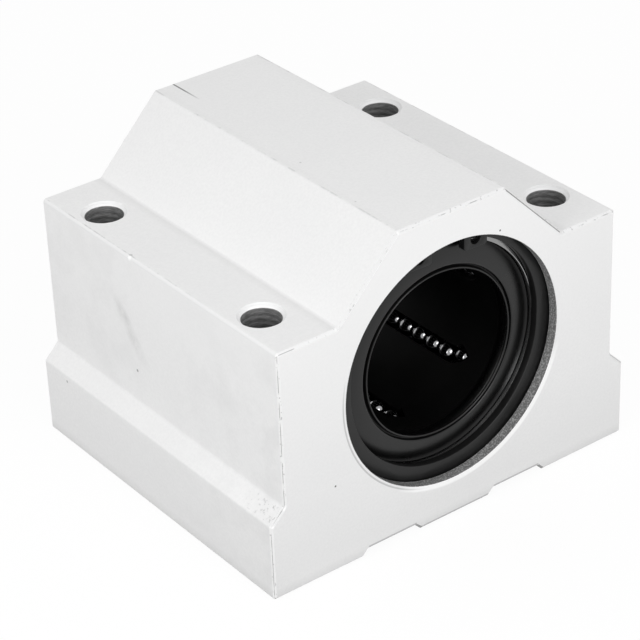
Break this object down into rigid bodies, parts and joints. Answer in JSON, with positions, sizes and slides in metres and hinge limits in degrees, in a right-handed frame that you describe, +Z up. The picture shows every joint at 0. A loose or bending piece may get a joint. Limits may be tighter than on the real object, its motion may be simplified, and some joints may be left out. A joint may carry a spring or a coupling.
{
  "type": "linear bearing block",
  "caption": "Extruded aluminium pillow block with a recirculating ball bearing for a round shaft, held by internal retaining rings and bolted down through its shoulders.",
  "frame": {"origin": "middle of the underside of the block, on the plane it stands on", "axes": "+X across the block, +Y along the shaft towards the rear face, +Z up from the base"},
  "size_m": [0.102, 0.09, 0.078],
  "materials": {
    "block_aluminium": "matt bead-blasted extruded aluminium, bright on machined edges",
    "bearing_steel": "ground bearing steel",
    "retainer_plastic": "black moulded retainer",
    "seal_rubber": "black nitrile rubber with a dull sheen",
    "ring_steel": "blackened spring steel",
    "ball_steel": "polished bearing balls"
  },
  "bodies": {
    "root": {"housing_block": "block_aluminium", "bearing_sleeve": "bearing_steel", "ball_retainer": "retainer_plastic", "end_seal_front": "seal_rubber", "end_seal_rear": "seal_rubber", "retaining_ring_front": "ring_steel", "retaining_ring_rear": "ring_steel", "ball_circuit_1": "ball_steel", "ball_circuit_2": "ball_steel", "ball_circuit_3": "ball_steel", "ball_circuit_4": "ball_steel", "ball_circuit_5": "ball_steel", "ball_circuit_6": "ball_steel"}
  },
  "joints": []
}
